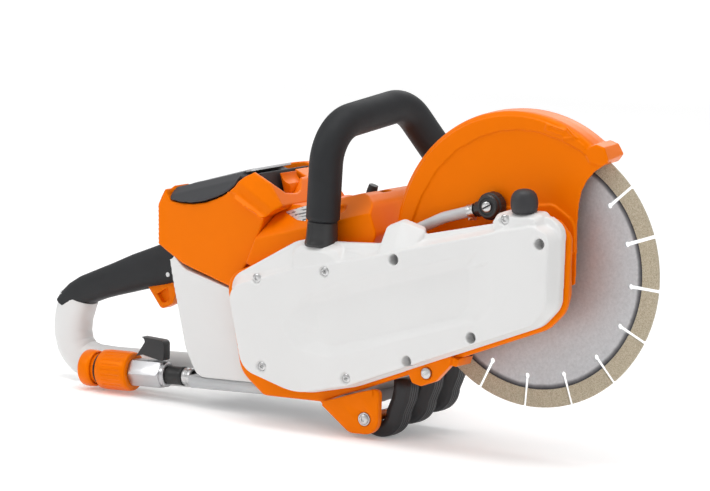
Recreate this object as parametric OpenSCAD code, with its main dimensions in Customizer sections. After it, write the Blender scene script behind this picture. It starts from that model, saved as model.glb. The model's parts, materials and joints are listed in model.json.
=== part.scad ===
// Battery cut-off saw with a diamond blade, belt-driven arm, water feed and lift-out battery.
// The saw is drawn with the blade centre at [0, 0, 0]: +X to the blade, +Z up, the operator's
// right-hand side at -Y. saw() then stands it on the ground with the nose slightly raised.

/* [Blade] */
// Diameter of the cutting blade
blade_d = 230; // [200:5:230]
// Bore of the cutting blade
bore_d = 22.23; // [20:0.01:25.4]
// Thickness of the steel core
core_t = 2; // [1.6:0.1:2.4]
// Thickness of the diamond segments
segment_t = 2.6; // [2.2:0.1:3.2]
// Height of the diamond segments
segment_h = 15; // [7:1:16]
// Number of diamond segments
segments = 16; // [12:1:18]

/* [Stance] */
// Height of the blade axis over the ground
axis_h = 155.8; // [150:0.1:165]
// Angle by which the nose is raised when the saw rests on its apron and tail
nose_up = 3; // [2:0.5:4]
// Angle of the arm over the base of the saw
arm_pitch = 14; // [10:1:18]

/* [Arm] */
// Outer face of the arm cover
cover_y = -60; // [-64:1:-56]
// Face where the cover meets the casting
joint_y = -38; // [-40:1:-37]
// Thickness of moulded walls
wall = 2.6; // [2:0.1:3]

/* [Housing] */
// Right-hand side of the housing
side_y = -31; // [-31:1:-31]
// Left-hand side of the housing
far_y = 82; // [76:1:88]
// Length of the battery along the saw
battery_l = 86; // [80:1:88]
// Width of the battery
battery_w = 76; // [70:1:78]
// Height of the battery
battery_h = 78; // [70:1:80]

/* [Handles] */
// Diameter of the front handle tube
tube_d = 22; // [20:1:24]
// Diameter of the foam sleeve on the front handle
sleeve_d = 28.5; // [26:0.5:30]
// Middle plane of the rear handle
handle_y = 24; // [20:1:28]
// Width of the rear handle
handle_w = 28; // [26:1:34]

/* [Water] */
// Outer diameter of the water hoses
hose_d = 9.5; // [8:0.5:11]
// Bore of the quick coupling that takes the supply plug
inlet_bore_d = 17.2; // [15:0.1:18]

/* [Hidden] */
$fn = 48;
blade_r = blade_d / 2;
gullet_w = 3;
keyhole_d = 4.6;
keyhole_r = 89.5;
keyhole_phase = 39.6;
tail_c = [-480, -97.4];
tail_r = 26.6;
handle_out = 112;
mid_x = (blade_r + tail_c[0] * cos(nose_up) - tail_c[1] * sin(nose_up) - tail_r) / 2;
mid_y = (cover_y + handle_out + tube_d / 2) / 2;
motor = [-205, -45];
drive_r = 17;
driven_r = 22;
belt_t = 3;
belt_y = -45.8;
guard_c = [-13, 16];
guard_r = 116.5;
guard_w = 14.5;
white = [0.88, 0.88, 0.87];
orange = [0.94, 0.44, 0.03];
dark = [0.2, 0.2, 0.21];
steel = [0.7, 0.7, 0.72];
grey = [0.62, 0.63, 0.64];

// Frames
module saw() translate([-mid_x, -mid_y, axis_h]) rotate([0, -nose_up, 0]) children();
module arm() saw() rotate([0, -arm_pitch, 0]) children();

// Outline helpers: points are [x, z, corner radius]
function flat(p) = [p[0], p[1]];
function corner(a, b, c, r) = r <= 0 ? [b] :
    let (u = (a - b) / norm(a - b), v = (c - b) / norm(c - b), half = acos(u * v) / 2,
        m = b + (u + v) / norm(u + v) * r / sin(half), s = b + u * r / tan(half) - m,
        e = b + v * r / tan(half) - m, t0 = atan2(s[1], s[0]), dt = atan2(e[1], e[0]) - t0,
        turn = dt > 180 ? dt - 360 : dt < -180 ? dt + 360 : dt, n = max(3, ceil(abs(turn) / 9)))
    [for (i = [0:n]) m + r * [cos(t0 + turn * i / n), sin(t0 + turn * i / n)]];
function rounded(p) = [for (i = [0:len(p) - 1]) let (n = len(p))
    each corner(flat(p[(i + n - 1) % n]), flat(p[i]), flat(p[(i + 1) % n]), p[i][2])];
function arc(c, r, a0, a1, n = 24) = [for (i = [0:n]) let (a = a0 + (a1 - a0) * i / n)
    c + r * [cos(a), sin(a)]];
function reverse(v) = [for (i = [len(v) - 1:-1:0]) v[i]];
// Belt line round two pulleys
function belt_loop(r0, r1) = let (d = norm(motor), a = atan2(motor[1], motor[0]),
        k = asin((r1 - r0) / d))
    concat(arc(motor, r0, a - 90 + k, a + 90 - k, 30), arc([0, 0], r1, a + 90 - k, a + 270 + k, 30));

module slab(pts, y0, y1) translate([0, y1, 0]) rotate([90, 0, 0]) linear_extrude(y1 - y0) polygon(pts);
module rod(x, z, y0, y1, d) translate([x, y1, z]) rotate([90, 0, 0]) cylinder(h = y1 - y0, d = d);
module ring(x, z, y0, y1, d, bore) difference() {
    rod(x, z, y0, y1, d);
    rod(x, z, y0 - 1, y1 + 1, bore);
}
module block(x0, x1, y0, y1, z0, z1) translate([x0, y0, z0]) cube([x1 - x0, y1 - y0, z1 - z0]);

// Swept tube: a route with filleted corners, points are [position, fillet radius]
function fillet(a, b, c, r) = r <= 0 ? [b] :
    let (u = (a - b) / norm(a - b), v = (c - b) / norm(c - b), half = acos(u * v) / 2,
        m = b + (u + v) / norm(u + v) * r / sin(half), s = b + u * r / tan(half) - m,
        turn = 180 - 2 * half, w = (v - (v * s) / (r * r) * s), q = w / norm(w) * r,
        n = max(3, ceil(turn / 11)))
    [for (i = [0:n]) m + s * cos(turn * i / n) + q * sin(turn * i / n)];
function route(p) = [for (i = [0:len(p) - 1]) each (i == 0 || i == len(p) - 1) ? [p[i][0]] :
    fillet(p[i - 1][0], p[i][0], p[i + 1][0], p[i][1])];
function tangent(c, i) = let (n = len(c), d = c[min(i + 1, n - 1)] - c[max(i - 1, 0)]) d / norm(d);
function side_of(t) = let (s = abs(t[2]) < 0.95 ? cross(t, [0, 0, 1]) : cross(t, [1, 0, 0])) s / norm(s);
function carry(c, i, s) = i >= len(c) ? [] : let (t = tangent(c, i), f = s - (s * t) * t,
    g = f / norm(f)) concat([g], carry(c, i + 1, g));
module tube(c, r, sides = 16) {
    frames = carry(c, 0, side_of(tangent(c, 0)));
    n = len(c);
    points = [for (i = [0:n - 1]) let (t = tangent(c, i), s = frames[i], q = cross(t, s))
        for (k = [0:sides - 1]) c[i] + r * (s * cos(360 * k / sides) + q * sin(360 * k / sides))];
    walls = [for (i = [0:n - 2], k = [0:sides - 1]) let (j = (k + 1) % sides)
        [i * sides + k, i * sides + j, (i + 1) * sides + j, (i + 1) * sides + k]];
    ends = [[for (k = [0:sides - 1]) sides - 1 - k], [for (k = [0:sides - 1]) (n - 1) * sides + k]];
    polyhedron(points, concat([for (w = walls) [w[3], w[2], w[1], w[0]]],
        [for (e = ends) [for (k = [sides - 1:-1:0]) e[k]]]), convexity = 6);
}

// Outlines
cover_line = [[-274, -20, 16], [-259, -97, 22], [-200, -114, 60], [-148, -104, 60], [30, -41, 28],
    [47, -24, 20], [50, 42, 14], [38, 50, 8], [-6, 50, 8], [-13, 42, 8], [-82, 28, 10], [-104, 40, 12],
    [-128, 18, 16], [-200, 18, 40]];
face_line = [[-267, -26, 14], [-253, -94, 20], [-200, -110, 55], [-148, -99, 60], [26, -36, 24],
    [42, -20, 20], [45, 40, 16], [20, 44, 20], [-137, 11, 60], [-185, -1, 40]];
foot_line = [[-272, -22, 16], [-257, -96, 22], [-200, -113, 60], [-148, -102, 60], [29, -40, 28],
    [46, -24, 20], [49, 38, 14], [30, 45, 14], [-137, 17, 60], [-200, 14, 40]];
room_line = [[-266, -28, 12], [-252, -92, 18], [-200, -107, 50], [-148, -96, 60], [24, -33, 20],
    [40, -20, 16], [42, 32, 10], [-137, 8, 40], [-185, -5, 30]];
casting_line = [[-281, -20, 18], [-266, -101, 24], [-246, -120, 8], [-186, -121, 6], [-166, -113, 20],
    [-146, -107, 40], [32, -44, 30], [50, -27, 22], [53, 34, 12], [20, 39, 20], [-128, 13, 16],
    [-200, 14, 40]];
arm_line = [[-141, -8, 8], [-60, 12, 20], [-22, 30, 16], [26, 30, 16], [45, 12, 16], [45, -24, 18],
    [22, -42, 26], [-60, -73, 20], [-141, -100, 8]];
lower_line = [[-356, 3, 4], [-341, -40, 30], [-334, -88, 10], [-322, -112, 14], [-146, -112, 6],
    [-142, -2, 3], [-287, -33, 12], [-338, -18, 20]];
upper_line = [[-349, 90, 4], [-342, 124, 14], [-330, 134, 10], [-246, 134, 12], [-229, 119, 8],
    [-219, 97, 0], [-237, 91, 0], [-263, 57, 8], [-280, 45, 6], [-286, 39.5, 0], [-332, 68, 20]];
deck_line = [[-236.6, 90.7, 0], [-218.6, 96.7, 0], [-206, 93, 8], [-142, 93, 14], [-130, 82, 10],
    [-128, 58, 8], [-141, 38, 0], [-279, 45, 6], [-262.5, 56.8, 8]];

module housing_plan() translate([0, 0, -200]) linear_extrude(500)
    polygon(rounded([[-362, side_y, 16], [-100, side_y, 6], [-100, far_y, 10], [-362, far_y, 26]]));

// Casings
module lower_housing() color(white) saw() difference() {
    intersection() { slab(rounded(lower_line), side_y, far_y); housing_plan(); }
    slab([[-349, 8], [-337, -40], [-331, -88], [-319, -109], [-149, -109], [-145.5, 8], [-287, 8]],
        side_y + wall, far_y - wall);
    rod(motor[0], motor[1], side_y - 1, side_y + wall + 1, 68);
    block(-362, -320, handle_y - 8, handle_y + 8, -36, -18);
}
module upper_housing() color(orange) arm() difference() {
    union() {
        difference() {
            intersection() {
                slab(rounded(upper_line), side_y, far_y);
                rotate([0, arm_pitch, 0]) housing_plan();
            }
            slab([[-344, 89], [-338, 120], [-329, 131], [-250, 131], [-232, 118], [-225, 98],
                [-239, 94], [-266, 58], [-283, 40], [-300, 20], [-360, 60]], side_y + wall, far_y - wall);
        }
        bay(0);
    }
    block(-330, -240, -14, 68, 53, 140);
    plate();
    slab(arc([-290, 158], 36, 205, 335), side_y - 1, -13);
    block(-241.6, -226, 12, 40, 103, 140);
}
// Walls of the battery bay, grown by g
module bay(g) block(-332 - g, -238 + g, -16 - g, 70 + g, 51 - g, 130);
// Rating plate, lying in the front of the housing and the back of the deck
module plate() translate([-214, 20, 95.3]) rotate([0, 12, 0]) cube([18, 50, 1], center = true);
module deck_cover() color(orange) arm() difference() {
    slab(rounded(deck_line), side_y, far_y);
    bay(0.2);
    plate();
    slab([[-236, 88], [-218, 92.5], [-206, 90], [-144, 90], [-133, 81], [-131, 59], [-142, 42],
        [-146, 30], [-282, 30], [-276, 46], [-260, 57]], side_y + wall, far_y - wall);
    translate([-300, -8, 93.5]) rotate([-40, 0, 0]) translate([0, -60, 0]) cube([200, 60, 60]);
    block(-168, -148, 14, 26, 80, 100);
}
tray_line = [[-334, -112, 2], [-330, -123, 4], [-158, -123, 4], [-150, -112, 3]];
module base_tray() color(grey) saw() difference() {
    slab(rounded(tray_line), -20, far_y - 4);
    block(-322, -166, -17, far_y - 7, -120.5, -110);
}
module far_foot() color(dark) saw() difference() {
    translate([-164, far_y - 14, -147.34]) rotate([0, nose_up, 0]) cylinder(h = 26, d1 = 13, d2 = 18);
    slab(rounded(tray_line), -20, far_y - 4);
}

// Arm
module arm_casting() color(orange) saw() difference() {
    union() {
        slab(rounded(casting_line), joint_y, side_y);
        slab(rounded(arm_line), side_y, -17);
        rod(0, 0, -17, -10, 48);
        rod(-185, 4, joint_y, side_y, 24);
    }
    rod(0, 0, joint_y - 1, -9, 32);
    rod(motor[0], motor[1], joint_y - 1, side_y + 1, 26);
    slab(rounded([[-130, -16, 6], [-60, 4, 8], [-26, 18, 6], [-26, -40, 6], [-60, -64, 6],
        [-130, -90, 6]]), side_y, -20);
    rod(-141, -131, -50, -20, 6);
}
screw_at = [[-239, -17], [-234, -91.5], [-150, -95.5], [-171, -7], [1.5, 47]];
plain_at = [[-103, 7.5], [36, 29], [-28.5, -52.5], [-90.5, -76.5]];
module arm_cover() color(white) saw() difference() {
    union() {
        slab(rounded(cover_line), -46, joint_y);
        hull() {
            slab(rounded(foot_line), -47, -45);
            slab(rounded(face_line), cover_y, cover_y + 0.5);
        }
        slab(rounded([[-13, 40, 4], [-6, 54, 6], [34, 54, 8], [46, 38, 6]]), -58, joint_y);
    }
    slab(rounded(room_line), cover_y + wall, joint_y + 1);
    slab(rounded([[-216, -56, 14], [-186, -30, 16], [-18, 16, 6], [-16, -10, 30], [-26, -38, 10],
        [-190, -80, 20]]), cover_y - 1, cover_y + 1.6);
    for (p = concat(screw_at, plain_at)) rod(p[0], p[1], cover_y - 1, joint_y + 1, 5);
    for (p = screw_at) rod(p[0], p[1], cover_y - 1, cover_y + 2, 9);
    for (p = plain_at) rod(p[0], p[1], cover_y - 1, cover_y + 2, 9);
    translate([15, -47, 40]) cylinder(h = 20, d = 10);
}
module cover_screws() color(steel) saw() for (p = concat(screw_at, plain_at)) difference() {
    union() {
        rod(p[0], p[1], cover_y + 0.4, cover_y + 2, 8.4);
        rod(p[0], p[1], cover_y + 2, joint_y, 4.6);
    }
    rod(p[0], p[1], cover_y - 1, cover_y + 1.4, 4);
}
module rating_plate() color(grey) arm() plate();

// Front handle
leg_y = -45.5;
bar_near = [-175.5, leg_y, 113.3];
bar_far = [-165, 60, 125.5];
leg_far = [-150, 107, 68];
handle_route = route([[[-182, leg_y, 18.8], 0], [bar_near, 36], [bar_far, 34], [leg_far, 40],
    [[-160, handle_out, -60], 0]]);
sleeve_route = route([[[-181, leg_y, 34.5], 0], [bar_near, 36], [bar_far, 34],
    [bar_far + 0.8 * (leg_far - bar_far), 0]]);
module front_handle_tube() color(dark) saw() difference() {
    tube(handle_route, tube_d / 2);
    rod(-159, -48, 95, 130, 6);
}
module front_handle_sleeve() color(dark) saw() difference() {
    tube(sleeve_route, sleeve_d / 2);
    tube(handle_route, tube_d / 2);
}
module handle_collars() color([0.12, 0.12, 0.13]) saw() {
    difference() {
        translate([-182, leg_y, 18.8]) rotate([0, 4, 0]) union() {
            translate([0, 0, 0.8]) cylinder(h = 4, d = 27.8);
            translate([0, 0, 4.8]) cylinder(h = 10.4, d1 = 27, d2 = 25);
        }
        tube(handle_route, tube_d / 2);
    }
    difference() {
        block(-176, -144, far_y, 116, -64, -34);
        tube(handle_route, tube_d / 2);
        rod(-159, -48, 60, 130, 6);
    }
}

// Rear handle
module rear_handle_loop() color(white) saw() {
    slab(concat([[-499.8, -62]], arc(tail_c, tail_r, 175, 240, 14), [[-474, -130.8], [-334.4, -130.8],
        [-334.4, -97]], arc([-456, -85], 13.5, 270, 180, 8), [[-469, -74], [-461.5, -61],
        [-480, -68.5]]), handle_y - handle_w / 2, handle_y + handle_w / 2);
}
module rear_grip() color(dark) saw() difference() {
    slab(rounded([[-361.4, 7.5, 1], [-398, -7, 30], [-474, -37, 30], [-500, -61.5, 4],
        [-480, -68, 8], [-462, -60.6, 12], [-344.6, -33, 1], [-360.8, 2, 0]]), handle_y - handle_w / 2, handle_y + handle_w / 2);
    slab([[-410, -16], [-366, -10], [-366, -60], [-410, -60]], handle_y - 8, handle_y + 8);
    rod(-376, -30, handle_y - 20, handle_y + 20, 4);
    rod(-392, -10, handle_y + 4, handle_y + 20, 11);
}
module trigger() color(orange) saw() difference() {
    slab(rounded([[-381, -25, 4], [-370, -25, 4], [-370, -40, 3], [-377, -57, 5], [-388, -62, 4],
        [-402, -43, 3], [-402, -32, 2]]), handle_y - 6, handle_y + 6);
    slab(rounded([[-383, -42, 2], [-380, -54, 2], [-387, -57, 2], [-396, -44, 2]]),
        handle_y - 7, handle_y + 7);
    rod(-376, -30, handle_y - 7, handle_y + 7, 4.1);
}
module trigger_pin() color(steel) saw() rod(-376, -30, handle_y - 13.8, handle_y + 13.8, 4);
module trigger_spring() color(steel) saw() translate([-398, handle_y, -29.5]) difference() {
    cylinder(h = 14.6, d = 6);
    translate([0, 0, -1]) cylinder(h = 17, d = 4.4);
}
module lockout_button() color(orange) saw() rod(-392, -10, handle_y + 8.5, handle_y + 17.5, 10.4);
module switch_module() color(dark) saw() block(-331, -311, handle_y - 14, handle_y + 14, -72, -44);
module control_board() color([0.1, 0.35, 0.16]) saw() {
    block(-321, -251, -10, 60, -100, -98);
    block(-311, -261, 0, 50, -98, -84);
}

// Drive
module motor_stator() color([0.55, 0.33, 0.16]) saw() difference() {
    ring(motor[0], motor[1], -24, 16, 62, 44);
    for (a = [0:30:330]) translate([motor[0], 0, motor[1]]) rotate([0, a, 0])
        rod(23.4, 0, -25, 17, 5);
}
module motor_bracket() color(steel) saw() {
    ring(motor[0], motor[1], side_y, -24, 66, 22);
    difference() {
        union() {
            ring(motor[0], motor[1], -24, 20, 66, 62);
            ring(motor[0], motor[1], 20, 24, 66, 22);
        }
        for (a = [0:45:315]) translate([motor[0], 0, motor[1]]) rotate([0, a, 0])
            block(-4, 4, -18, 14, 28, 36);
    }
}
module motor_rotor() color(steel) saw() difference() {
    union() {
        rod(motor[0], motor[1], -22, 14, 40);
        rod(motor[0], motor[1], belt_y - 6.2, 25, 8);
    }
    for (a = [0:45:315]) translate([motor[0], 0, motor[1]]) rotate([0, a, 0]) rod(12, 0, -23, 15, 5);
}
module motor_bearings() color(steel) saw() {
    ring(motor[0], motor[1], -31, -25, 22, 8.06);
    ring(motor[0], motor[1], 18, 24, 22, 8.06);
}
module pulley(x, z, r, bore) difference() {
    union() {
        rod(x, z, belt_y - 5.5, belt_y + 5.5, 2 * r);
        rod(x, z, belt_y - 6.2, belt_y - 4.7, 2 * r + 4);
        rod(x, z, belt_y + 4.7, belt_y + 6.2, 2 * r + 4);
    }
    rod(x, z, belt_y - 8, belt_y + 8, bore);
}
module drive_pulley() color(steel) saw() pulley(motor[0], motor[1], drive_r, 8);
module driven_pulley() color(steel) saw() difference() {
    pulley(0, 0, driven_r, 16);
    for (a = [0:60:300]) rotate([0, a, 0]) rod(14.5, 0, belt_y - 8, belt_y + 8, 6);
}
module drive_belt() color([0.08, 0.08, 0.08]) saw() difference() {
    slab(belt_loop(drive_r + belt_t, driven_r + belt_t), belt_y - 4.25, belt_y + 4.25);
    slab(belt_loop(drive_r + 0.3, driven_r + 0.3), belt_y - 6, belt_y + 6);
}
module spindle() color(steel) saw() difference() {
    union() {
        rod(0, 0, belt_y - 7, -1.2, 16);
        rod(0, 0, -1.2, 0.8, 16);
    }
    rod(0, 0, -22, 2, 8);
}
module spindle_bearings() color(steel) saw() {
    ring(0, 0, -37.5, -28.5, 32, 16.06);
    ring(0, 0, -20, -11, 32, 16.06);
}
module inner_flange() color(steel) saw() difference() {
    union() {
        rod(0, 0, -7, -core_t / 2, 56);
        rod(0, 0, -core_t / 2, 0.8, bore_d - 0.1);
        rod(0, 0, -9, -7, 30);
    }
    rod(0, 0, -10, 2, 16);
}
module outer_flange() color(steel) saw() difference() {
    rod(0, 0, core_t / 2, 6, 56);
    rod(0, 0, 0, 7, 8.2);
}
module blade_bolt() color(steel) saw() difference() {
    union() {
        rod(0, 0, -20, 6, 8);
        translate([0, 13, 0]) rotate([90, 0, 0]) cylinder(h = 7, d = 15, $fn = 6);
    }
    rod(0, 0, 9, 14, 6);
}
module gullets() for (i = [0:segments - 1])
    rotate([0, -keyhole_phase - i * 360 / segments, 0]) {
        rod(keyhole_r, 0, -3, 3, keyhole_d);
        block(keyhole_r, blade_r + 5, -3, 3, -gullet_w / 2, gullet_w / 2);
    }
module blade_core() color([0.72, 0.73, 0.75]) saw() difference() {
    translate([0, core_t / 2, 0]) rotate([90, 0, 0]) cylinder(h = core_t, r = blade_r - segment_h, $fn = 96);
    rod(0, 0, -3, 3, bore_d);
    gullets();
}
module blade_segments() color([0.62, 0.57, 0.46]) saw() difference() {
    translate([0, segment_t / 2, 0]) rotate([90, 0, 0]) cylinder(h = segment_t, r = blade_r, $fn = 96);
    rod(0, 0, -3, 3, 2 * (blade_r - segment_h));
    gullets();
}

// Guard
fitting = [-31, 53];
function guard_arc(r, a0 = 48, a1 = 188) = arc(guard_c, r, a0, a1, 40);
module guard() color(orange) saw() difference() {
    union() {
        slab(concat([[74, 106]], guard_arc(guard_r), [[-127, -10], [-30, -24]],
            arc([0, 0], 31, 218, 330, 12), [[44, -8], [45.5, 30]],
            arc([94.5, 50], 49, 178, 116, 10)), -guard_w, -12);
        slab(concat([[74, 105]], guard_arc(guard_r), reverse(guard_arc(guard_r - 3)), [[66, 97]]),
            -guard_w, guard_w);
        slab(concat([[70, 103]], guard_arc(guard_r), [[-118, -2]],
            arc([0, 0], 50, 170, 45, 20), [[66, 94]]), 12, guard_w);
        slab(concat(guard_arc(guard_r - 3, 52, 172), reverse(guard_arc(guard_r - 17, 52, 172))),
            -guard_w - 1.4, -guard_w);
    }
    rod(0, 0, -guard_w - 3, -11, 48.6);
    rod(fitting[0], fitting[1], -guard_w - 3, -11, 6);
}
module guard_nozzles() color(steel) saw() {
    rod(fitting[0], fitting[1], -11.9, -6.5, 9);
    rod(fitting[0], fitting[1], 7, 11.9, 9);
}
// Stub that leaves the fitting towards the hose: s is the way along it, h its length
module spigot(s, h, d) translate([fitting[0] - 9, -23, fitting[1] - 2.5]) rotate([0, -105, 0]) translate([0, 0, s])
    cylinder(h = h, d = d);
module guard_fitting() color(dark) saw() difference() {
    union() {
        rod(fitting[0], fitting[1], -30, -guard_w, 20);
        rod(fitting[0], fitting[1], -guard_w, -12, 5.8);
        spigot(0, 7, 9);
    }
    rod(fitting[0], fitting[1], -31, -27, 9.2);
}
module fitting_screw() color(steel) saw() difference() {
    rod(fitting[0], fitting[1], -31, -27, 9);
    block(fitting[0] - 5, fitting[0] + 5, -32, -30, fitting[1] - 0.7, fitting[1] + 0.7);
}
hose_route = route([[[-47.05, -23, 48.61], 0], [[-76, -23, 40.9], 36], [[-100, -25, 30], 20],
    [[-112, -25, 17], 0]]);
module guard_hose() color([0.72, 0.73, 0.74]) saw() tube(hose_route, hose_d / 2, 12);
module guard_hose_clamp() color(steel) saw() difference() {
    spigot(10, 6, hose_d + 3.2);
    spigot(8, 10, hose_d + 0.7);
}
module guard_knob() color(dark) saw() translate([15, -47, 0]) {
    translate([0, 0, 54.4]) cylinder(h = 12, d = 22);
    intersection() {
        translate([0, 0, 62]) sphere(d = 24);
        translate([0, 0, 66.4]) cylinder(h = 20, d = 22);
    }
    translate([0, 0, 42]) cylinder(h = 12.4, d = 9.4);
}

// Water feed
module along_x(x0, x1, d, z = -114.5, y = -9) translate([x0, y, z]) rotate([0, 90, 0])
    cylinder(h = x1 - x0, d = d);
module inlet_hose() color([0.1, 0.1, 0.1]) saw() along_x(-362, -345, 16);
module inlet_hose_clamp() color(steel) saw() difference() {
    along_x(-345, -336, 15);
    along_x(-346, -335, 11);
}
module valve_body() color(steel) saw() difference() {
    union() {
        translate([-398, -9, -114.5]) rotate([0, 90, 0]) rotate([0, 0, 30]) cylinder(h = 36, d = 26, $fn = 6);
        along_x(-409, -398, 20);
        translate([-378, -9, -105]) cylinder(h = 11, d = 7.9);
    }
    along_x(-412, -361, 10);
}
module valve_lever() color(dark) saw() translate([-378, -9, 0]) difference() {
    translate([-15, -5, -102.6]) cube([29, 10, 20.4]);
    translate([0, 0, -103]) cylinder(h = 9.2, d = 8);
}
module coupling_barrel() color(orange) saw() difference() {
    union() {
        along_x(-428, -398.2, 35);
        along_x(-442, -428, 27);
    }
    along_x(-443, -411, inlet_bore_d);
    along_x(-412, -398, 20);
}
module coupling_sleeve() color(orange) saw() difference() {
    along_x(-449, -431, 32);
    along_x(-450, -430, 27.6);
}

// Battery
module battery_case() color(dark) arm() {
    translate([-328, -12, 55]) cube([battery_l, battery_w, battery_h - 9]);
}
module battery_lid() color([0.3, 0.31, 0.32]) arm() hull() {
    translate([-328, -12, 46 + battery_h]) cube([battery_l, battery_w, 3]);
    translate([-318, -2, 54 + battery_h]) cube([battery_l - 20, battery_w - 20, 1.5]);
}
module battery_terminal() color(steel) arm() {
    for (y = [10, 22, 34, 46]) block(-300, -280, y, y + 3, 53, 55);
}
module battery_latch() color(dark) arm() difference() {
    union() {
        block(-238.5, -232.5, 14, 38, 104, 126);
        rod(-235.5, 105.5, 12.4, 39.6, 3);
    }
    block(-240, -235, 18, 34, 116, 130);
}
module selector_lever() color(dark) arm() {
    rod(-158, 84, 16, 24, 8);
    translate([-159, 16.5, 84.5]) rotate([0, 14, 0]) cube([7, 7, 14]);
    rod(-158, 84, 12, 28, 4.2);
}

// Apron
module lobe(y0, y1, shift) slab([for (p = concat([[-160, -137], [-158, -142]],
    arc([-138, -126.2], 22.6, 225, 360, 14), [[-108, -104], [-110, -92.6], [-124, -96.6]],
    arc([-138, -126.2], 17.6, 360, 228, 14))) p + shift * [1, 1]], y0, y1);
module apron() color([0.12, 0.12, 0.13]) saw() {
    lobe(-30, -2, 0);
    lobe(-2, 26, 8);
    lobe(26, 52, 15);
}
module apron_bracket() color(orange) saw() difference() {
    union() {
        slab(rounded([[-190, -121.2, 2], [-156, -144, 13], [-128, -144, 13], [-127, -106, 4],
            [-134, -105.5, 2], [-148, -109, 4], [-168, -115, 4]]), joint_y - 6, joint_y);
        rod(-141, -131, -40, -3, 8);
        slab(rounded([[-102, -88.6, 2], [-92, -98, 5], [-72, -93, 6], [-58, -78, 3], [-58, -73, 2]]),
            joint_y - 6, joint_y);
    }
    rod(-141, -131, -50, -37, 5);
    rod(-80, -87.5, -50, -37, 5);
}
module bracket_screws() color(steel) saw() for (p = [[-141, -131], [-80, -87.5]]) difference() {
    union() {
        rod(p[0], p[1], -46.5, -44, 9);
        rod(p[0], p[1], -44, joint_y, 5);
    }
    rod(p[0], p[1], -47, -45.3, 4);
}

lower_housing();
upper_housing();
deck_cover();
base_tray();
far_foot();
arm_casting();
arm_cover();
cover_screws();
rating_plate();
front_handle_tube();
front_handle_sleeve();
handle_collars();
rear_handle_loop();
rear_grip();
trigger();
trigger_pin();
trigger_spring();
lockout_button();
switch_module();
control_board();
motor_stator();
motor_bracket();
motor_rotor();
motor_bearings();
drive_pulley();
drive_belt();
driven_pulley();
spindle();
spindle_bearings();
inner_flange();
blade_core();
blade_segments();
outer_flange();
blade_bolt();
guard();
guard_nozzles();
guard_fitting();
fitting_screw();
guard_hose();
guard_hose_clamp();
guard_knob();
inlet_hose();
inlet_hose_clamp();
valve_body();
valve_lever();
coupling_barrel();
coupling_sleeve();
battery_case();
battery_lid();
battery_terminal();
battery_latch();
selector_lever();
apron();
apron_bracket();
bracket_screws();
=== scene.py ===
import json
import math

import bmesh
import bpy
import numpy as np
from mathutils import Matrix, Vector


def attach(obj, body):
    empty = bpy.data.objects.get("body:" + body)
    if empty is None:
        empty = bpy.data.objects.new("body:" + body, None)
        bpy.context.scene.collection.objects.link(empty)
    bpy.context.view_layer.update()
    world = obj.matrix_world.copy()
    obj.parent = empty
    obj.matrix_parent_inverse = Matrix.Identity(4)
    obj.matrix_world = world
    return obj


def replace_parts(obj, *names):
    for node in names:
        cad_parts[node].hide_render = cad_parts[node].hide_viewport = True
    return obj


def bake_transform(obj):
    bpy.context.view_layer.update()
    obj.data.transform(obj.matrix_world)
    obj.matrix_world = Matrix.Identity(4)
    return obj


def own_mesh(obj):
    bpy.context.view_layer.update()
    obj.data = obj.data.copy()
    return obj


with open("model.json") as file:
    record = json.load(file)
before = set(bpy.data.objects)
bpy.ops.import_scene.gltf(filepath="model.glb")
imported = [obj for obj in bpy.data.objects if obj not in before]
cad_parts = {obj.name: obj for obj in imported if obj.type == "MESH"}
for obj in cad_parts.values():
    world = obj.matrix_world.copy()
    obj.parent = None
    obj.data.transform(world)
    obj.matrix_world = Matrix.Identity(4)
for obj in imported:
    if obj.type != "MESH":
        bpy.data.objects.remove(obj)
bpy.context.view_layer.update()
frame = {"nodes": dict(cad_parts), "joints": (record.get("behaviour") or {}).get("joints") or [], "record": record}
NODES = frame["nodes"]
JOINTS = {j["name"]: j for j in frame["joints"]}

# The saw's own axes: origin at the blade's centre, +X to the blade, millimetres. The nose is raised.
NOSE_UP = math.radians(3)
ARM_PITCH = math.radians(14)
BLADE_CENTRE = Vector(JOINTS["blade_spin"]["pos_m"])
SAW = Matrix.Translation(BLADE_CENTRE) @ Matrix.Rotation(-NOSE_UP, 4, "Y") @ Matrix.Scale(0.001, 4)

# The photograph's view: turned from the saw's right side towards its nose, and raised. The picture's
# middle lies VIEW_RIGHT and VIEW_UP millimetres from the blade's centre.
VIEW_AZIMUTH = math.radians(32.04)
VIEW_ELEVATION = math.radians(6.71)
VIEW_DISTANCE = 4136
VIEW_RIGHT, VIEW_UP = -150.5, 19.8
SENSOR_MM, LENS_MM = 36, 253.5211

# Each soft box: place, target, size in metres, power in watts.
SOFT_BOXES = {
    "top_box": ((0.1, -0.2, 1.9), (0, 0, 0.1), (1.4, 1.0), 18),
    "key_box": ((-1.2, -1.6, 1.5), (0, 0, 0.12), (0.9, 0.7), 8),
    "front_box": ((2.0, -1.0, 0.9), (0.1, 0, 0.12), (0.8, 1.0), 3),
    "back_box": ((-0.6, 1.6, 1.2), (0, 0, 0.15), (1.2, 0.8), 5),
}
WORLD_STRENGTH = 0.6
FLOOR_HALF = 8
# The floor's own light grows from near to far, over these distances in metres.
FLOOR_NEAR, FLOOR_FAR = 1.2, 5.0
FLOOR_GLOW_NEAR, FLOOR_GLOW_FAR = 0.2, 0.75

# The motor's axis, and the sides of the two housings.
MOTOR_X, MOTOR_Z = -205, -45
NEAR_SIDE, FAR_SIDE = -31, 82


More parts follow.
